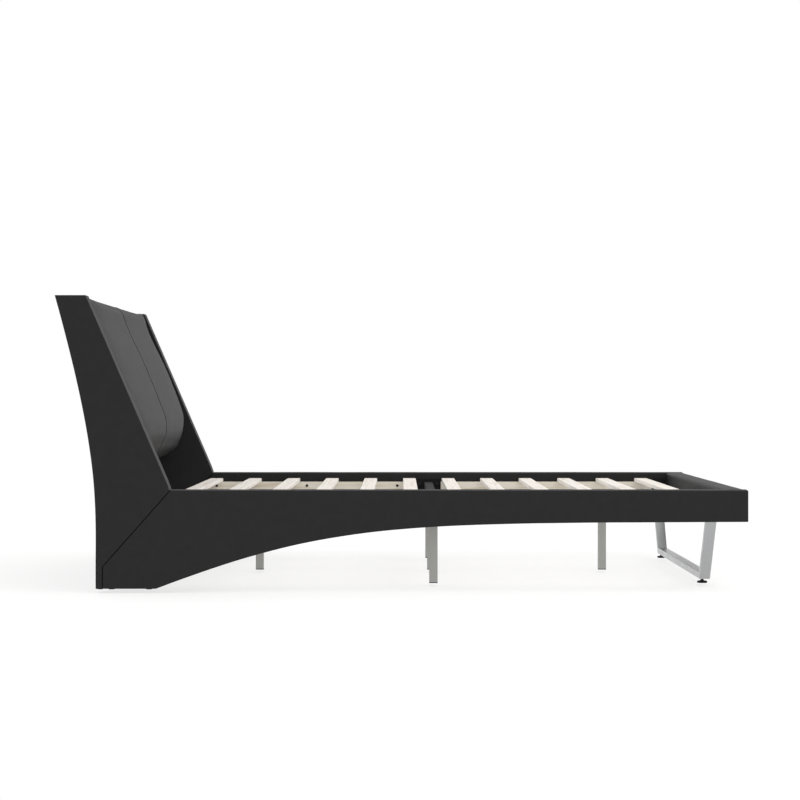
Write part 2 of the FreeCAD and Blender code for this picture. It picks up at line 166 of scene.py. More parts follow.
def blackLeatherette():
    # PU leatherette: a coated cloth with an embossed pebble grain and a satin top coat,
    # so it is near black face on and greys towards the edge of sight.
    # Real pebbles are about 1 mm, drawn at 2.2 mm to show
    look = {
        "dark": linear("222222"),
        "light": linear("252526"),
        "roughness": (0.52, 0.56),
        "pebbleMm": 2.2,
        "creaseMm": 38.0,
        "specular": 0.13,
    }
    made, tree = newMaterial("blackLeatherette")
    place = addNode(tree, "ShaderNodeTexCoord")
    pebble = addNode(
        tree,
        "ShaderNodeTexVoronoi",
        {"Scale": 1000 / look["pebbleMm"], "feature": "SMOOTH_F1", "Smoothness": 0.35},
        {"Vector": (place, "Object")},
    )
    pore = addNode(
        tree,
        "ShaderNodeTexNoise",
        {"Scale": 2600 / look["pebbleMm"], "Detail": 2.0},
        {"Vector": (place, "Object")},
    )
    drift = addNode(
        tree,
        "ShaderNodeTexNoise",
        {"Scale": 1000 / look["creaseMm"], "Detail": 4.0, "Roughness": 0.55},
        {"Vector": (place, "Object")},
    )
    tone = colourRamp(tree, drift, "Fac", [(0.35, look["dark"]), (0.7, look["light"])])
    low, high = look["roughness"]
    gloss = addNode(
        tree,
        "ShaderNodeMapRange",
        {"From Min": 0.3, "From Max": 0.7, "To Min": low, "To Max": high},
        {"Value": (drift, "Fac")},
    )
    poreBump = addNode(
        tree,
        "ShaderNodeBump",
        {"Strength": 0.10, "Distance": 0.0002},
        {"Height": (pore, "Fac")},
    )
    bump = addNode(
        tree,
        "ShaderNodeBump",
        {"Strength": 0.22, "Distance": 0.0004},
        {"Height": (pebble, "Distance"), "Normal": (poreBump, "Normal")},
    )
    shader = addNode(
        tree,
        "ShaderNodeBsdfPrincipled",
        {"IOR": 1.5, "Specular IOR Level": look["specular"]},
        {
            "Base Color": (tone, "Color"),
            "Roughness": (gloss, "Result"),
            "Normal": (bump, "Normal"),
        },
    )
    closeMaterial(tree, shader)
    return made


def planedWood(name, pale, deep, roughness, turn):
    # planed and sanded softwood: straight grain lines along the board and a dull bare face.
    # Real fibres are under 0.1 mm wide, drawn at 0.9 mm to show
    look = {"grainMm": 7.0, "fibreMm": 0.9, "stretch": 0.035}
    made, tree = newMaterial(name)
    place = addNode(tree, "ShaderNodeTexCoord")
    scale = (1.0, look["stretch"], 1.0) if turn == "y" else (look["stretch"], 1.0, 1.0)
    mapping = addNode(
        tree,
        "ShaderNodeMapping",
        {"Scale": scale},
        {"Vector": (place, "Object")},
    )
    rings = addNode(
        tree,
        "ShaderNodeTexNoise",
        {"Scale": 1000 / look["grainMm"] / 2, "Detail": 3.0, "Distortion": 0.8},
        {"Vector": (mapping, "Vector")},
    )
    fibre = addNode(
        tree,
        "ShaderNodeTexNoise",
        {"Scale": 1000 / look["fibreMm"], "Detail": 2.0},
        {"Vector": (mapping, "Vector")},
    )
    tone = colourRamp(tree, rings, "Fac", [(0.33, deep), (0.5, pale), (0.72, pale)])
    speck = addNode(
        tree,
        "ShaderNodeMixRGB",
        {"blend_type": "MULTIPLY", "Fac": 0.12},
        {"Color1": (tone, "Color"), "Color2": (fibre, "Fac")},
    )
    bump = addNode(
        tree,
        "ShaderNodeBump",
        {"Strength": 0.25, "Distance": 0.0003},
        {"Height": (fibre, "Fac")},
    )
    shader = addNode(
        tree,
        "ShaderNodeBsdfPrincipled",
        {"Roughness": roughness, "IOR": 1.45, "Specular IOR Level": 0.3},
        {"Base Color": (speck, "Color"), "Normal": (bump, "Normal")},
    )
    closeMaterial(tree, shader)
    return made


def coatedSteel(name, colour, roughness, peelMm, metallic=0.0, specular=0.5):
    # powder-coated or painted tube: an even film with a slight orange peel
    made, tree = newMaterial(name)
    place = addNode(tree, "ShaderNodeTexCoord")
    peel = addNode(
        tree,
        "ShaderNodeTexNoise",
        {"Scale": 1000 / peelMm, "Detail": 1.5},
        {"Vector": (place, "Object")},
    )
    gloss = addNode(
        tree,
        "ShaderNodeMapRange",
        {"From Min": 0.3, "From Max": 0.7, "To Min": roughness - 0.05, "To Max": roughness + 0.05},
        {"Value": (peel, "Fac")},
    )
    bump = addNode(
        tree,
        "ShaderNodeBump",
        {"Strength": 0.12, "Distance": 0.0002},
        {"Height": (peel, "Fac")},
    )
    shader = addNode(
        tree,
        "ShaderNodeBsdfPrincipled",
        {"Base Color": linear(colour), "Metallic": metallic, "Specular IOR Level": specular},
        {"Roughness": (gloss, "Result"), "Normal": (bump, "Normal")},
    )
    closeMaterial(tree, shader)
    return made


def brushedTube():
    # satin chrome on a brushed tube: fine lines across the tube soften its reflections.
    # Real lines are about 0.1 mm apart, drawn at 0.8 mm to show
    look = {"colour": "adaeaf", "lineMm": 0.8, "stretch": 0.02, "roughness": (0.26, 0.38)}
    made, tree = newMaterial("brushedTube")
    place = addNode(tree, "ShaderNodeTexCoord")
    mapping = addNode(
        tree,
        "ShaderNodeMapping",
        {"Scale": (1.0, look["stretch"], look["stretch"])},
        {"Vector": (place, "Object")},
    )
    lines = addNode(
        tree,
        "ShaderNodeTexNoise",
        {"Scale": 1000 / look["lineMm"], "Detail": 2.0},
        {"Vector": (mapping, "Vector")},
    )
    low, high = look["roughness"]
    gloss = addNode(
        tree,
        "ShaderNodeMapRange",
        {"From Min": 0.3, "From Max": 0.7, "To Min": low, "To Max": high},
        {"Value": (lines, "Fac")},
    )
    bump = addNode(
        tree,
        "ShaderNodeBump",
        {"Strength": 0.08, "Distance": 0.0001},
        {"Height": (lines, "Fac")},
    )
    shader = addNode(
        tree,
        "ShaderNodeBsdfPrincipled",
        {"Base Color": linear(look["colour"]), "Metallic": 1.0},
        {"Roughness": (gloss, "Result"), "Normal": (bump, "Normal")},
    )
    closeMaterial(tree, shader)
    return made


def mouldedPlastic():
    # injection-moulded nylon: black with a spark-eroded texture, so it is dull
    made, tree = newMaterial("mouldedPlastic")
    place = addNode(tree, "ShaderNodeTexCoord")
    spark = addNode(
        tree,
        "ShaderNodeTexNoise",
        {"Scale": 1600.0, "Detail": 1.0},
        {"Vector": (place, "Object")},
    )
    bump = addNode(
        tree,
        "ShaderNodeBump",
        {"Strength": 0.2, "Distance": 0.0001},
        {"Height": (spark, "Fac")},
    )
    shader = addNode(
        tree,
        "ShaderNodeBsdfPrincipled",
        {"Base Color": linear("0c0c0c"), "Roughness": 0.6, "Specular IOR Level": 0.2},
        {"Normal": (bump, "Normal")},
    )
    closeMaterial(tree, shader)
    return made


def stitchThread():
    # bonded polyester thread, black, with a slight sheen
    made, tree = newMaterial("stitchThread")
    place = addNode(tree, "ShaderNodeTexCoord")
    twist = addNode(
        tree,
        "ShaderNodeTexWave",
        {"Scale": 900.0, "Distortion": 1.0},
        {"Vector": (place, "Object")},
    )
    tone = colourRamp(tree, twist, "Fac", [(0.2, linear("0c0c0c")), (0.8, linear("1c1c1c"))])
    shader = addNode(
        tree,
        "ShaderNodeBsdfPrincipled",
        {"Roughness": 0.6, "Sheen Weight": 0.3},
        {"Base Color": (tone, "Color")},
    )
    closeMaterial(tree, shader)
    return made


def liningCloth():
    # spunbonded polypropylene, the black lining under upholstery: a dull felt of fine fibres
    # pressed with a lattice of small dots. Real dots stand 1.2 mm apart, drawn at 4 mm to show
    look = {"dotMm": 4.0, "fibreMm": 1.5, "dark": linear("131313"), "light": linear("1e1e1f")}
    made, tree = newMaterial("spunbondLining")
    place = addNode(tree, "ShaderNodeTexCoord")
    dots = addNode(
        tree,
        "ShaderNodeTexVoronoi",
        {"Scale": 1000 / look["dotMm"], "Randomness": 0.0},
        {"Vector": (place, "Object")},
    )
    fibres = addNode(
        tree,
        "ShaderNodeTexNoise",
        {"Scale": 1000 / look["fibreMm"], "Detail": 3.0, "Roughness": 0.6},
        {"Vector": (place, "Object")},
    )
    tone = colourRamp(tree, fibres, "Fac", [(0.35, look["dark"]), (0.65, look["light"])])
    dotBump = addNode(
        tree,
        "ShaderNodeBump",
        {"Strength": 0.3, "Distance": 0.0003},
        {"Height": (dots, "Distance")},
    )
    shader = addNode(
        tree,
        "ShaderNodeBsdfPrincipled",
        {"Roughness": 0.9, "Specular IOR Level": 0.1, "Sheen Weight": 0.05},
        {"Base Color": (tone, "Color"), "Normal": (dotBump, "Normal")},
    )
    closeMaterial(tree, shader)
    return made


leatherette = blackLeatherette()
slatWood = planedWood("sandedPoplar", linear("f3ede5"), linear("e4dace"), 0.62, "y")
ledgeWood = planedWood("planedPine", linear("dfd8ca"), linear("ccbfa9"), 0.60, "x")
frameWood = planedWood("rawPine", linear("c8ad84"), linear("9c7c52"), 0.65, "x")
blackPly = planedWood("blackStainedPly", linear("1d1c1b"), linear("121211"), 0.70, "x")
blackCoat = coatedSteel("blackPowderCoat", "161617", 0.72, 1.4, specular=0.15)
silverPaint = coatedSteel("silverPaint", "9e9e9a", 0.42, 1.2, 0.35)
zincPlate = coatedSteel("zincPlate", "b9bab8", 0.35, 2.0, 0.9)
blackOxide = coatedSteel("blackOxide", "0d0d0d", 0.40, 0.8, 0.3)
tubeMetal = brushedTube()
blackPlastic = mouldedPlastic()
thread = stitchThread()
lining = liningCloth()

nodeLooks = {
    "slat_": slatWood,
    "ledge_screws": blackOxide,
    "ledge_": ledgeWood,
    "wing_joint_plates": blackCoat,
    "wing_": frameWood,
    "side_rail_": frameWood,
    "foot_rail_": frameWood,
    "headboard_board": blackPly,
    "headboard_lower_board": blackPly,
    "headboard_rib": frameWood,
    "headboard_back": lining,
    "headboard_": leatherette,
    "support_leg_": silverPaint,
    "sled_leg_frame": tubeMetal,
    "sled_mount_": blackCoat,
    "leg_end_caps": blackPlastic,
    "leg_bolts": zincPlate,
    "frame_bolts": blackOxide,
    "foot_pad_": blackPlastic,
    "foot_stud_": blackOxide,
    "foot_nuts": zincPlate,
    "floor_glides": blackPlastic,
    "cross_beam": blackCoat,
    "centre_beam": blackCoat,
    "beam_hangers": blackCoat,
    "corner_brackets": blackCoat,
}


def dress(piece, material):
    piece.data.materials.clear()
    piece.data.materials.append(material)


def finishNodes():
    for name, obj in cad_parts.items():
        for start, material in nodeLooks.items():
            if name.startswith(start):
                for place in obj.material_slots:
                    place.link = "OBJECT"
                    place.material = material
                break


finishNodes()
say("materials on the frame")


# upholstered panels: a grid is drawn out to the panel's outline, made thick and rounded

panels = {
    "thickness": 0.072,
    "round": 0.009,
    "roundSteps": 4,
    "cell": 0.028,
    "rows": 14,
    "finer": 2,
    "fill": 0.9,
    "sharpFrom": 18,
    "smoothTo": 50,
    "mergeWithin": 0.00005,
    "aside": 10.0,
    "waviness": 0.0004,
    "wavePitch": 0.16,
    "crown": 0.0025,
    "crownFrom": 0.330,
    "puckerDepth": 0.0026,
    "puckerReach": 0.022,
    "puckerPitch": 0.017,
    "puckerFades": 3,
    "puckerJitter": (3, 30),
    "puckerPatch": (18, 4, 1.7),
    "puckerBias": 0.35,
    "flatFrom": 0.9,
    "topSlack": 0.001,
}

outline = {
    "railTop": 0.345,
    "railStart": -0.8026,
    "jointLow": (-1.037, 0.080),
    "jointGap": 0.0022,
    "floorGap": 0.004,
    "footEnd": 1.203,
    "heelFront": -0.852,
    "arch": [(-0.852, 0.004), (-0.302, 0.2145), (-0.050, 0.2309), (0.850, 0.2345)],
    "footBottom": 0.236,
    "wingTop": 1.023,
    "wingTopFront": -1.0965,
    "wingBackFoot": -1.061,
    "wingBack": [(-1.061, 0.060), (-1.061, 0.300), (-1.0462, 0.463), (-1.203, 1.023)],
    "footRailInner": 1.129,
    "innerY": 0.768,
}


def railUnder(x):
    if x <= outline["heelFront"]:
        return outline["floorGap"]
    if x >= outline["arch"][3][0]:
        share = (x - outline["arch"][3][0]) / (outline["footEnd"] - outline["arch"][3][0])
        return blendBetween(outline["arch"][3][1], outline["footBottom"], share)
    return alongCurve(outline["arch"], 0, x)


def railOver(x):
    if x >= outline["railStart"]:
        return outline["railTop"]
    jointX, jointZ = outline["jointLow"]
    share = (x - jointX) / (outline["railStart"] - jointX)
    return blendBetween(jointZ, outline["railTop"], share)


def wingBehind(z):
    if z <= outline["wingBack"][0][1]:
        return outline["wingBackFoot"]
    return alongCurve(outline["wingBack"], 1, z)


def wingAhead(z):
    jointX, jointZ = outline["jointLow"]
    if z <= outline["railTop"]:
        share = max(0.0, (z - jointZ) / (outline["railTop"] - jointZ))
        return blendBetween(jointX, outline["railStart"], share) - outline["jointGap"]
    share = (z - outline["railTop"]) / (outline["wingTop"] - outline["railTop"])
    return blendBetween(outline["railStart"], outline["wingTopFront"], share)


def spread(stations, cell):
    # evenly spaced levels that keep every station
    levels = [stations[0]]
    for low, high in zip(stations, stations[1:]):
        count = max(1, round(abs(high - low) / cell))
        for step in range(1, count + 1):
            levels.append(blendBetween(low, high, step / count))
    return levels


def growPanel(name, levels, lowSide, highSide, rows, standing, innerY):
    # one grid row or column per level, drawn out between the two sides of the outline
    clearSelection()
    bpy.ops.mesh.primitive_grid_add(
        x_subdivisions=len(levels) - 1,
        y_subdivisions=rows,
        size=1,
        location=(0.5, innerY, 0.5),
        rotation=(math.pi / 2, 0, 0),
    )
    piece = startPiece(name)
    settle(piece)
    bpy.ops.object.mode_set(mode="EDIT")
    last = len(levels) - 1
    middle = (0, innerY, 0)
    aside = panels["aside"]
    for index in range(last, -1, -1):
        share = index / last
        level = levels[index]
        low, high = lowSide(level), highSide(level)
        # a finished row is moved aside, so that its points aren't picked again
        selectWhere(piece, lambda co: abs(co.x - share) < 0.2 / last and -0.01 < co.z < 1.01)
        bpy.ops.transform.translate(value=(aside + level - share, 0, 0))
        bpy.ops.transform.resize(value=(1, 1, high - low), center_override=middle)
        bpy.ops.transform.translate(value=(0, 0, low))
    bpy.ops.mesh.select_all(action="SELECT")
    bpy.ops.transform.translate(value=(-aside, 0, 0))
    if standing:
        # levels run up the panel: swap the two directions
        bpy.ops.transform.rotate(value=-math.pi / 2, orient_axis="Y", center_override=middle)
        bpy.ops.transform.mirror(constraint_axis=(False, False, True), center_override=middle)
    return piece


def thicken(piece, outward):
    bpy.ops.mesh.select_all(action="SELECT")
    bpy.ops.mesh.extrude_region_move(
        TRANSFORM_OT_translate={"value": (0, outward * panels["thickness"], 0)}
    )
    bpy.ops.mesh.select_all(action="SELECT")
    bpy.ops.mesh.remove_doubles(threshold=panels["mergeWithin"])
    bpy.ops.mesh.normals_make_consistent(inside=False)


def roundEdges(radius, steps):
    bpy.ops.mesh.select_all(action="DESELECT")
    bpy.ops.mesh.select_mode(type="EDGE")
    bpy.ops.mesh.edges_select_sharp(sharpness=math.radians(panels["sharpFrom"]))
    bpy.ops.mesh.bevel(offset=radius, segments=steps, profile=0.5, affect="EDGES", clamp_overlap=True)
    bpy.ops.mesh.select_mode(type="VERT")
    bpy.ops.object.mode_set(mode="OBJECT")


def fromJoint(co):
    # distance from the slanted joint between wing and rail, and place along it
    topX, topZ = outline["railStart"], outline["railTop"]
    lowX, lowZ = outline["jointLow"]
    runX, runZ = topX - lowX, topZ - lowZ
    size = math.hypot(runX, runZ)
    along = ((co.x - lowX) * runX + (co.z - lowZ) * runZ) / size
    across = abs((co.x - lowX) * runZ - (co.z - lowZ) * runX) / size
    return across, min(along, size - along), along


def puckerAt(co):
    # the cover is drawn in where it is stapled into the joint
    across, inside, along = fromJoint(co)
    if inside < 0 or across > panels["puckerFades"] * panels["puckerReach"]:
        return 0.0
    jitter, jitterScale = panels["puckerJitter"]
    alongScale, sideScale, start = panels["puckerPatch"]
    wave = math.cos(math.tau * along / panels["puckerPitch"] + jitter * noise.noise(co * jitterScale))
    patch = noise.noise(Vector((along * alongScale, co.y * sideScale, start)))
    strength = max(0.0, patch + panels["puckerBias"])
    return -(0.5 + 0.5 * wave) * strength * math.exp(-across / panels["puckerReach"])


def soften(piece):
    # foam never lies quite flat under its cover, and it swells a little on top of a rail
    normals = [point.normal.copy() for point in piece.data.vertices]
    middle = outline["innerY"] + panels["thickness"] / 2
    footMiddle = (outline["footRailInner"] + outline["footEnd"]) / 2
    for point, normal in zip(piece.data.vertices, normals):
        co = point.co
        start = co.copy()
        co += normal * noise.noise(start / panels["wavePitch"]) * panels["waviness"]
        if abs(normal.y) > panels["flatFrom"]:
            co += normal * puckerAt(start) * panels["puckerDepth"]
        if panels["crownFrom"] < start.z < outline["railTop"] + panels["topSlack"]:
            atFoot = abs(start.y) < outline["innerY"]
            offset = start.x - footMiddle if atFoot else abs(start.y) - middle
            swell = max(0.0, 1 - (2 * offset / panels["thickness"]) ** 2)
            rise = (start.z - panels["crownFrom"]) / (outline["railTop"] - panels["crownFrom"])
            if start.x > outline["railStart"]:
                co.z += panels["crown"] * swell * rise


def softenPanel(piece, node):
    bpy.ops.object.modifier_add(type="SUBSURF")
    piece.modifiers[-1].subdivision_type = "SIMPLE"
    piece.modifiers[-1].levels = panels["finer"]
    piece.modifiers[-1].render_levels = panels["finer"]
    applyModifiers(piece)
    soften(piece)
    smoothShade(piece, panels["smoothTo"])
    dress(piece, leatherette)
    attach(piece, body)
    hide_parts(node)


def finishPanel(piece, outward, node):
    thicken(piece, outward)
    roundEdges(panels["round"], panels["roundSteps"])
    softenPanel(piece, node)


def sidePanels():
    railStations = [
        outline["jointLow"][0],
        outline["heelFront"],
        outline["railStart"],
        outline["arch"][3][0],
        outline["footEnd"],
    ]
    wingStations = [
        outline["floorGap"],
        outline["wingBack"][0][1],
        outline["jointLow"][1],
        outline["railTop"],
        outline["wingTop"],
    ]
    for side, sign in (("Left", 1), ("Right", -1)):
        lower = side.lower()
        inner = sign * outline["innerY"]
        levels = spread(railStations, panels["cell"])
        rail = growPanel("sideRail" + side, levels, railUnder, railOver, panels["rows"], False, inner)
        finishPanel(rail, sign, f"side_rail_{lower}_cover")
        levels = spread(wingStations, panels["cell"])
        wing = growPanel("wing" + side, levels, wingBehind, wingAhead, panels["rows"], True, inner)
        finishPanel(wing, sign, f"wing_{lower}_cover")


sidePanels()
say("wings and side rails")


footRail = {"round": 0.009, "roundSteps": 4, "cuts": 40, "heightCuts": (0.33, 0.67)}


def makeFootRail():
    clearSelection()
    low, high = outline["footBottom"], outline["railTop"]
    near, far = outline["footRailInner"], outline["footEnd"]
    bpy.ops.mesh.primitive_cube_add(
        size=1,
        location=((near + far) / 2, 0, (low + high) / 2),
        scale=(far - near, 2 * outline["innerY"], high - low),
    )
    piece = startPiece("footRail")
    settle(piece)
    bpy.ops.object.mode_set(mode="EDIT")
    for step in range(1, footRail["cuts"]):
        y = blendBetween(-outline["innerY"], outline["innerY"], step / footRail["cuts"])
        bpy.ops.mesh.select_all(action="SELECT")
        bpy.ops.mesh.bisect(plane_co=(0, y, 0), plane_no=(0, 1, 0))
    for share in footRail["heightCuts"]:
        bpy.ops.mesh.select_all(action="SELECT")
        bpy.ops.mesh.bisect(plane_co=(0, 0, blendBetween(low, high, share)), plane_no=(0, 0, 1))
    roundEdges(footRail["round"], footRail["roundSteps"])
    softenPanel(piece, "foot_rail_cover")


makeFootRail()
say("foot rail")


# headboard cushion: foam under leatherette, blown up a little and held down at its seam

cushion = {
    "mergeWithin": 0.00002,
    "voxel": 0.006,
    "evenOut": (0.5, 3),
    "settle": (0.5, 2),
    "finer": 1,
    "fill": 0.85,
    "shrink": 0.004,
    "skinFrom": 0.010,
    "sideFrom": 0.7,
    "upFrom": 0.6,
    "pressure": 4.0,
    "cap": 0.016,
    "capAtHeight": [(0.40, 0.8), (0.44, 1.0), (0.58, 1.0), (0.64, 0.6), (0.72, 0.5), (1.02, 0.5)],
    "taper": 0.030,
    "taperReach": 0.18,
    "taperDepth": 0.10,
    "taperLift": 0.4,
    "liftBelow": 0.62,
    "taperAtHeight": [
        (0.40, 1.0),
        (0.443, 1.0),
        (0.485, 0.55),
        (0.57, 0.06),
        (0.62, 0.0),
        (0.80, 0.0),
        (0.95, 0.25),
        (1.02, 0.28),
    ],
    "frames": 20,
    "heldWithin": 0.012,
    "stiffness": {"tension": 15, "compression": 15, "shear": 5, "bending": 0.5},
    "steps": 4,
    "skinMass": 0.3,
    "topFrom": 0.960,
    "topAt": 1.015,
    "topRise": 0.006,
    "endReach": 0.30,
    "seamShare": 0.85,
    "seamReach": 0.13,
    "seamHalf": 0.0022,
    "seamDepth": 0.009,
    "seamFall": 1.5,
    "seamFrom": 0.004,
    "onLine": 0.0003,
    "onMiddle": 0.0004,
    "turnAbout": (-1.03, 0.62),
    "longestStep": 0.03,
    "stitchOffset": 0.0065,
    "stitchPitch": 0.0065,
    "stitchLength": 0.0048,
    "stitchRadius": 0.0006,
    "backTop": (-1.140, 1.004),
    "backBottom": (-1.036, 0.409),
}


def copyOfNode(node, name):
    clearSelection()
    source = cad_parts[node]
    made = bpy.data.objects.new(name, source.data.copy())
    made.data.name = name
    bpy.context.scene.collection.objects.link(made)
    made.data.materials.clear()
    workOn(made)
    bpy.ops.object.mode_set(mode="EDIT")
    bpy.ops.mesh.select_all(action="SELECT")
    bpy.ops.mesh.remove_doubles(threshold=cushion["mergeWithin"])
    bpy.ops.object.mode_set(mode="OBJECT")
    return made


def frontOfBoard(co):
    # how far a point lies in front of the board behind the cushion
    topX, topZ = cushion["backTop"]
    lowX, lowZ = cushion["backBottom"]
    runX, runZ = lowX - topX, lowZ - topZ
    size = math.hypot(runX, runZ)
    return (-(co.x - topX) * runZ + (co.z - topZ) * runX) / size


def readTable(table, value):
    for (low, atLow), (high, atHigh) in zip(table, table[1:]):
        if value <= high:
            return blendBetween(atLow, atHigh, max(0.0, (value - low) / (high - low)))
    return table[-1][1]


def easeIn(distance, reach):
    share = min(1.0, max(0.0, distance / reach))
    return math.sqrt(1 - (1 - share) ** 2)


def addSmoothing(piece, amount):
    bpy.ops.object.modifier_add(type="SMOOTH")
    piece.modifiers[-1].factor, piece.modifiers[-1].iterations = amount


def remeshCushion(piece):
    # even cells for the cloth, and a skin drawn in by what the filling pushes out again
    workOn(piece)
    piece.data.remesh_voxel_size = cushion["voxel"]
    piece.data.remesh_voxel_adaptivity = 0
    piece.data.use_remesh_preserve_volume = True
    bpy.ops.object.voxel_remesh()
    addSmoothing(piece, cushion["evenOut"])
    applyModifiers(piece)
    normals = [point.normal.copy() for point in piece.data.vertices]
    for point, normal in zip(piece.data.vertices, normals):
        onFace = abs(normal.y) < cushion["sideFrom"] and normal.z < cushion["upFrom"]
        if frontOfBoard(point.co) > cushion["skinFrom"] and onFace:
            point.co -= normal * cushion["shrink"]


def taperEnds(piece):
    # the roll draws back towards both ends
    halfWidth = max(abs(point.co.y) for point in piece.data.vertices)
    for point in piece.data.vertices:
        nearEnd = 1 - (halfWidth - abs(point.co.y)) / cushion["taperReach"]
        if nearEnd > 0:
            share = nearEnd ** 2 * readTable(cushion["taperAtHeight"], point.co.z)
            share *= min(1.0, max(0.0, frontOfBoard(point.co) / cushion["taperDepth"]))
            point.co.x -= cushion["taper"] * share
            if point.co.z < cushion["liftBelow"]:
                point.co.z += cushion["taperLift"] * cushion["taper"] * share


def raiseTop(piece):
    # the top edge stands full, nearly level with the wings
    span = cushion["topAt"] - cushion["topFrom"]
    for point in piece.data.vertices:
        share = (point.co.z - cushion["topFrom"]) / span
        if share > 0:
            point.co.z += cushion["topRise"] * min(1.0, share)


def inflateCushion(piece):
    halfWidth = max(abs(point.co.y) for point in piece.data.vertices)
    held = piece.vertex_groups.new(name="held")
    for point in piece.data.vertices:
        if frontOfBoard(point.co) < cushion["heldWithin"]:
            held.add([point.index], 1.0, "REPLACE")
    before = [point.co.copy() for point in piece.data.vertices]
    workOn(piece)
    bpy.ops.object.modifier_add(type="CLOTH")
    cloth = piece.modifiers[-1]
    cloth.settings.quality = cushion["steps"]
    cloth.settings.mass = cushion["skinMass"]
    for pull, amount in cushion["stiffness"].items():
        setattr(cloth.settings, pull + "_stiffness", amount)
    cloth.settings.use_pressure = True
    cloth.settings.uniform_pressure_force = cushion["pressure"]
    cloth.settings.effector_weights.gravity = 0
    cloth.settings.vertex_group_mass = "held"
    cloth.point_cache.frame_start = 1
    cloth.point_cache.frame_end = cushion["frames"]
    for number in range(1, cushion["frames"] + 1):
        bpy.context.scene.frame_set(number)
    applyModifiers(piece)
    for point, start in zip(piece.data.vertices, before):
        move = point.co - start
        reach = cushion["cap"] * readTable(cushion["capAtHeight"], start.z)
        reach *= easeIn(halfWidth - abs(start.y), cushion["endReach"])
        share = cushion["seamShare"]
        reach *= share + (1 - share) * easeIn(abs(start.y), cushion["seamReach"])
        if move.length > reach:
            point.co = start + move.normalized() * reach
    bpy.context.scene.frame_set(1)
    piece.vertex_groups.clear()


def sewSeam(piece):
    # exact loops on both sides of the middle, then the middle is pulled in
    workOn(piece)
    bpy.ops.object.mode_set(mode="EDIT")
    half, wide = cushion["seamHalf"], cushion["stitchOffset"]
    for y in (-wide, -half, 0, half, wide):
        bpy.ops.mesh.select_all(action="SELECT")
        bpy.ops.mesh.bisect(plane_co=(0, y, 0), plane_no=(0, 1, 0))
    bpy.ops.object.mode_set(mode="OBJECT")
    normals = [point.normal.copy() for point in piece.data.vertices]
    for point, normal in zip(piece.data.vertices, normals):
        offset = abs(point.co.y)
        if offset < wide - cushion["onLine"] and frontOfBoard(point.co) > cushion["seamFrom"]:
            share = max(0.0, 1 - offset / wide) ** cushion["seamFall"]
            if offset < cushion["onMiddle"]:
                share = 1.0
            point.co -= normal * cushion["seamDepth"] * share


def seamLine(piece, y):
    # points of the cushion's skin on one plane, from the top round to the roll
    line = []
    for point in piece.data.vertices:
        onSkin = frontOfBoard(point.co) > cushion["heldWithin"]
        if abs(point.co.y - y) < cushion["onLine"] and onSkin:
            line.append((point.co.copy(), point.normal.copy()))
    middleX, middleZ = cushion["turnAbout"]
    line.sort(key=lambda item: -math.atan2(item[0].z - middleZ, item[0].x - middleX))
    return line


def layStitches(piece):
    clearSelection()
    bpy.ops.mesh.primitive_uv_sphere_add(segments=6, ring_count=4, radius=1)
    stitch = startPiece("stitchShape")
    length, radius = cushion["stitchLength"] / 2, cushion["stitchRadius"]
    copies = []
    for y in (-cushion["stitchOffset"], cushion["stitchOffset"]):
        line = seamLine(piece, y)
        gone = 0.0
        for (here, normal), (there, ahead) in zip(line, line[1:]):
            step = there - here
            if not 1e-6 <= step.length <= cushion["longestStep"]:
                continue
            direction = step.normalized()
            while gone < step.length:
                spot = here + direction * gone
                side = direction.cross(normal).normalized()
                copies.append((spot + normal * radius * 0.5, direction, side, normal))
                gone += cushion["stitchPitch"]
            gone -= step.length
    vertices, faces = [], []
    shape = [point.co.copy() for point in stitch.data.vertices]
    loops = [tuple(face.vertices) for face in stitch.data.polygons]
    for spot, direction, side, normal in copies:
        base = len(vertices)
        for co in shape:
            across = side * co.y * radius + normal * co.z * radius
            vertices.append(spot + direction * co.x * length + across)
        faces += [tuple(base + index for index in loop) for loop in loops]
    mesh = bpy.data.meshes.new("cushionStitches")
    mesh.from_pydata(vertices, [], faces)
    bpy.data.objects.remove(stitch)
    made = bpy.data.objects.new("cushionStitches", mesh)
    bpy.context.scene.collection.objects.link(made)
    workOn(made)
    bpy.ops.object.mode_set(mode="EDIT")
    bpy.ops.mesh.select_all(action="SELECT")
    bpy.ops.mesh.normals_make_consistent(inside=False)
    bpy.ops.object.mode_set(mode="OBJECT")
    bpy.ops.object.shade_smooth()
    dress(made, thread)
    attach(made, body)


def makeCushion():
    piece = copyOfNode("headboard_pad", "headboardCushion")
    remeshCushion(piece)
    taperEnds(piece)
    raiseTop(piece)
    inflateCushion(piece)
    addSmoothing(piece, cushion["settle"])
    bpy.ops.object.modifier_add(type="SUBSURF")
    piece.modifiers[-1].levels = cushion["finer"]
    piece.modifiers[-1].render_levels = cushion["finer"]
    applyModifiers(piece)
    sewSeam(piece)
    workOn(piece)
    bpy.ops.object.shade_smooth()
    dress(piece, leatherette)
    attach(piece, body)
    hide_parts("headboard_pad")
    layStitches(piece)


makeCushion()
say("headboard cushion")


# lower panel under the cushion

lowerPanel = {
    "node": "headboard_lower_cover",
    "round": 0.00175,
    "roundSteps": 3,
    "cuts": 40,
    "heightCuts": 9,
}


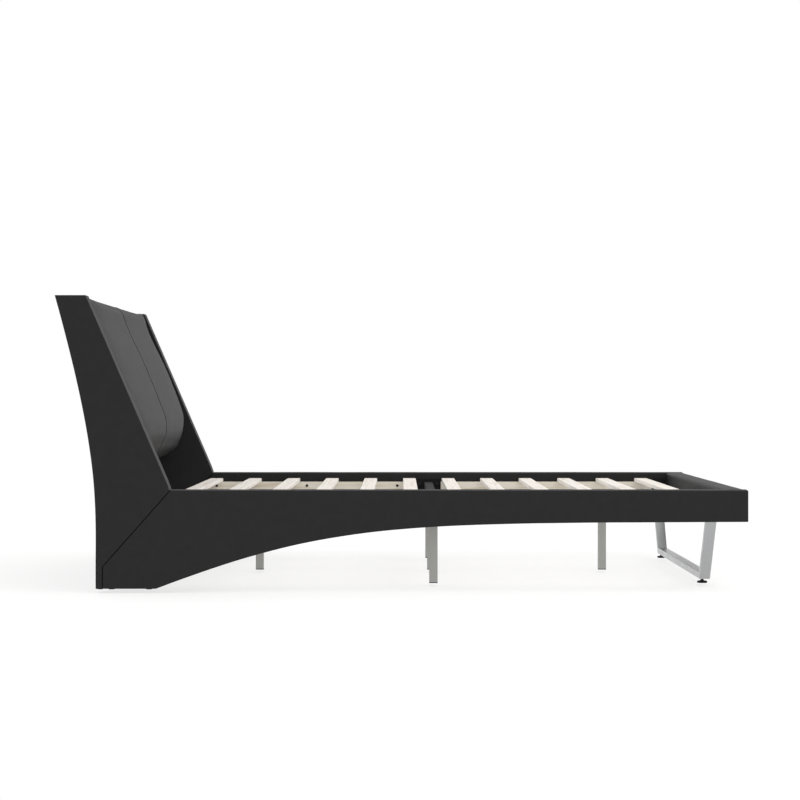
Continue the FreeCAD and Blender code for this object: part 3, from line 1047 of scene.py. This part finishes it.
def makeLowerPanel():
    low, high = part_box(lowerPanel["node"])
    clearSelection()
    middle = [(a + b) / 2 for a, b in zip(low, high)]
    size = [b - a for a, b in zip(low, high)]
    bpy.ops.mesh.primitive_cube_add(size=1, location=middle, scale=size)
    piece = startPiece("lowerPanel")
    settle(piece)
    bpy.ops.object.mode_set(mode="EDIT")
    for step in range(1, lowerPanel["cuts"]):
        y = blendBetween(low[1], high[1], step / lowerPanel["cuts"])
        bpy.ops.mesh.select_all(action="SELECT")
        bpy.ops.mesh.bisect(plane_co=(0, y, 0), plane_no=(0, 1, 0))
    for step in range(1, lowerPanel["heightCuts"]):
        z = blendBetween(low[2], high[2], step / lowerPanel["heightCuts"])
        bpy.ops.mesh.select_all(action="SELECT")
        bpy.ops.mesh.bisect(plane_co=(0, 0, z), plane_no=(0, 0, 1))
    roundEdges(lowerPanel["round"], lowerPanel["roundSteps"])
    softenPanel(piece, lowerPanel["node"])


makeLowerPanel()
say("lower panel")


# lining on the back: stretched over the ribs between the wings and folded over their top

backCloth = {
    "node": "headboard_back",
    "inset": 0.0055,
    "thickness": 0.0014,
    "cell": 0.016,
    "slopeStep": 0.002,
    "foldTop": 1.0085,
    "foldFront": -1.143,
    "foldRound": 0.005,
    "foldSteps": 4,
    "waviness": 0.0007,
    "wavePitch": 0.11,
    "hem": 0.022,
    "pull": 0.0008,
    "staplePitch": 0.075,
}


def backLine(z):
    # the lining at one height: the wings' back edge, set in square to its slope
    step = backCloth["slopeStep"]
    slope = (wingBehind(z + step) - wingBehind(z - step)) / (2 * step)
    return wingBehind(z) + backCloth["inset"] * math.sqrt(1 + slope * slope)


def backProfile(lowZ):
    # up the back, round the top corner and forward to the cushion, as x, z and the way out
    top, bend, steps = backCloth["foldTop"], backCloth["foldRound"], backCloth["foldSteps"]
    cell = backCloth["cell"]
    points = [(backLine(z), z, (-1, 0)) for z in spread([lowZ, top - bend], cell)]
    middleX = points[-1][0] + bend
    for step in range(1, steps + 1):
        turn = math.pi / 2 * step / steps
        out = (-math.cos(turn), math.sin(turn))
        points.append((middleX + bend * out[0], top - bend + bend * out[1], out))
    for x in spread([middleX, backCloth["foldFront"]], cell)[1:]:
        points.append((x, top, (0, 1)))
    return points


def makeBackCloth():
    low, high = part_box(backCloth["node"])
    width = high[1] - low[1]
    profile = backProfile(low[2])
    lengths = [0.0]
    for here, there in zip(profile, profile[1:]):
        lengths.append(lengths[-1] + math.dist(here[:2], there[:2]))
    rows, columns = len(profile) - 1, round(width / backCloth["cell"])
    clearSelection()
    bpy.ops.mesh.primitive_grid_add(x_subdivisions=rows, y_subdivisions=columns, size=1)
    piece = startPiece("backCloth")
    for point in piece.data.vertices:
        row = round((point.co.x + 0.5) * rows)
        y = point.co.y * width
        x, z, out = profile[row]
        along = lengths[row]
        edge = min(width / 2 - abs(y), along, lengths[-1] - along)
        slack = min(1.0, edge / backCloth["hem"])
        wave = noise.noise(Vector((y, along, 0)) / backCloth["wavePitch"])
        pull = math.sin(2 * math.pi * (y + along) / backCloth["staplePitch"])
        shift = wave * backCloth["waviness"] * slack
        shift += pull * backCloth["pull"] * slack * (1 - slack)
        point.co = Vector((x + out[0] * shift, y, z + out[1] * shift))
    workOn(piece)
    if piece.data.polygons[0].normal.x > 0:
        piece.data.flip_normals()
    bpy.ops.object.modifier_add(type="SOLIDIFY")
    piece.modifiers[-1].thickness = backCloth["thickness"]
    piece.modifiers[-1].offset = -1
    applyModifiers(piece)
    smoothShade(piece, panels["smoothTo"])
    dress(piece, lining)
    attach(piece, body)
    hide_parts(backCloth["node"])


makeBackCloth()
say("back lining")


# floor, light and camera

studio = {
    "floorSides": 96,
    "floorDrop": 0.0105,
    "floorRadius": 6.0,
    "floorFade": (2.6, 5.0),
    "floor": linear("969695"),
    "floorGlow": 0.70,
    "world": (1.0, 1.0, 1.0, 1.0),
    "worldStrength": 1.0,
    "lightPlace": (3.0, -2.5, 4.5),
    "lightAim": (-0.5, 0, 0.4),
    "lightSize": (3.0, 2.0),
    "lightWatts": 60,
    "cameraPlace": (-0.0054, -7.82, 0.673),
    "clipEnd": 200,
    "lensMm": 90.6,
    "shiftY": -0.005,
}


def makeFloor():
    clearSelection()
    bpy.ops.mesh.primitive_circle_add(
        vertices=studio["floorSides"],
        radius=studio["floorRadius"],
        fill_type="NGON",
        location=(0, 0, -studio["floorDrop"]),
    )
    floor = startPiece("studioFloor")
    settle(floor)
    # a paper sweep: pale and matte, and it melts into the white surroundings further out
    made, tree = newMaterial("paleFloor")
    place = addNode(tree, "ShaderNodeTexCoord")
    away = addNode(
        tree,
        "ShaderNodeVectorMath",
        {"operation": "LENGTH"},
        {"Vector": (place, "Object")},
    )
    start, end = studio["floorFade"]
    fade = addNode(
        tree,
        "ShaderNodeMapRange",
        {"From Min": start, "From Max": end},
        {"Value": (away, "Value")},
    )
    paper = addNode(
        tree,
        "ShaderNodeBsdfPrincipled",
        {
            "Base Color": studio["floor"],
            "Roughness": 0.8,
            "Specular IOR Level": 0.1,
            "Emission Color": (1.0, 1.0, 1.0, 1.0),
            "Emission Strength": studio["floorGlow"],
        },
    )
    clear = addNode(tree, "ShaderNodeBsdfTransparent")
    mixed = addNode(tree, "ShaderNodeMixShader", links={"Fac": (fade, "Result")})
    tree.links.new(paper.outputs["BSDF"], mixed.inputs[1])
    tree.links.new(clear.outputs["BSDF"], mixed.inputs[2])
    closeMaterial(tree, mixed, "Shader")
    dress(floor, made)


def makeWorld():
    world = bpy.data.worlds.new("softStudio")
    bpy.context.scene.world = world
    world.use_nodes = True
    back = world.node_tree.nodes["Background"]
    back.inputs["Color"].default_value = studio["world"]
    back.inputs["Strength"].default_value = studio["worldStrength"]


def makeSoftBox():
    # one wide light high up at the foot end
    light = bpy.data.lights.new("keyLight", "AREA")
    light.shape = "RECTANGLE"
    light.size, light.size_y = studio["lightSize"]
    light.energy = studio["lightWatts"]
    made = bpy.data.objects.new("keyLight", light)
    made.location = studio["lightPlace"]
    aim = Vector(studio["lightAim"]) - Vector(studio["lightPlace"])
    made.rotation_euler = aim.to_track_quat("-Z", "Y").to_euler()
    bpy.context.scene.collection.objects.link(made)


def makeCamera():
    lens = bpy.data.cameras.new("camera")
    lens.lens = studio["lensMm"]
    lens.shift_y = studio["shiftY"]
    lens.clip_end = studio["clipEnd"]
    made = bpy.data.objects.new("camera", lens)
    made.location = studio["cameraPlace"]
    made.rotation_euler = (math.pi / 2, 0, 0)
    bpy.context.scene.collection.objects.link(made)
    bpy.context.scene.camera = made


makeFloor()
makeWorld()
makeSoftBox()
makeCamera()
bpy.context.scene.view_settings.view_transform = "Standard"
say("studio")
